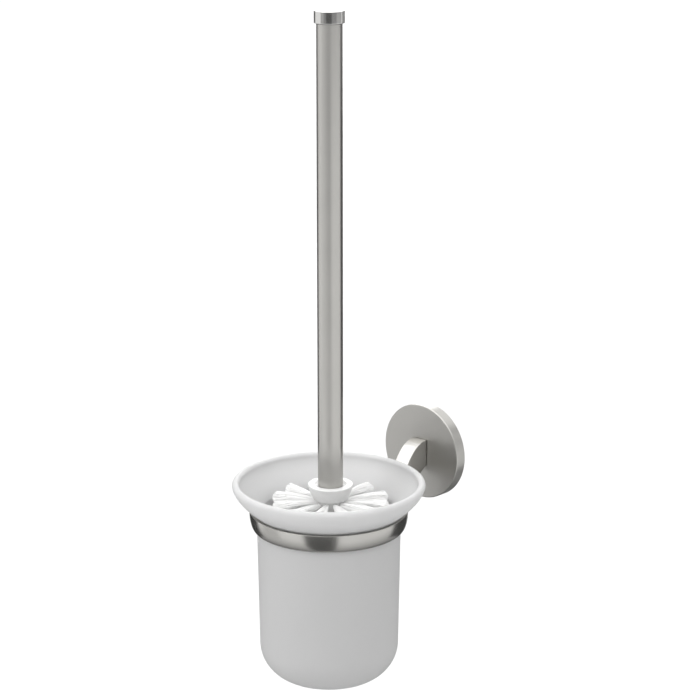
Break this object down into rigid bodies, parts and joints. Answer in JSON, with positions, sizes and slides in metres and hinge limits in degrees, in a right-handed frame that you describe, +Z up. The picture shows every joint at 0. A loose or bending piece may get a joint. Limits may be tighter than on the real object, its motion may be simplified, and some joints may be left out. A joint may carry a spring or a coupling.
{
  "type": "wall-mounted toilet brush holder",
  "caption": "Wall-mounted toilet brush holder: round rosette and curved arm carry a ring with a frosted glass cup, and a brush with a long steel handle stands in the cup.",
  "frame": {"origin": "centre of the wall plate's back face, in the plane of the wall, behind the middle of the rosette", "axes": "+Z up along the brush handle, +Y into the wall, -Y out into the room through the cup's axis"},
  "size_m": [0.1102, 0.1571, 0.3863],
  "materials": {
    "satin_steel": "fine satin-brushed stainless steel",
    "polished_steel": "polished steel",
    "zinc_plate": "dull zinc-plated steel",
    "grey_nylon": "matt nylon",
    "clear_plastic": "clear soft plastic",
    "frosted_glass": "satin frosted glass",
    "white_plastic": "white moulded plastic",
    "white_bristle": "white nylon bristle"
  },
  "bodies": {
    "wall_bracket": {"wall_plate": "zinc_plate", "wall_screw_upper": "zinc_plate", "wall_screw_lower": "zinc_plate", "wall_plug_upper": "grey_nylon", "wall_plug_lower": "grey_nylon", "rosette": "satin_steel", "grub_screw": "satin_steel", "arm": "satin_steel", "arm_screw": "satin_steel", "arm_washer": "satin_steel", "arm_dowel": "satin_steel", "ring": "satin_steel", "ring_screw": "satin_steel", "ring_liner": "clear_plastic"},
    "cup": {"glass_cup": "frosted_glass"},
    "brush": {"handle_tube": "satin_steel", "handle_cap": "polished_steel", "handle_insert": "satin_steel", "handle_stud": "zinc_plate", "brush_head": "white_plastic", "bristle_row_1": "white_bristle", "bristle_row_2": "white_bristle", "bristle_row_3": "white_bristle", "bristle_row_4": "white_bristle", "bristle_row_5": "white_bristle", "bristle_row_6": "white_bristle", "bristle_row_7": "white_bristle", "bristle_crown": "white_bristle"}
  },
  "joints": [
    {"name": "cup_lift", "type": "slide", "parent": "wall_bracket", "child": "cup", "axis": [0, 0, 1], "range_m": [0, 0.11]},
    {"name": "brush_lift", "type": "slide", "parent": "cup", "child": "brush", "axis": [0, 0, 1], "range_m": [0, 0.12]}
  ]
}
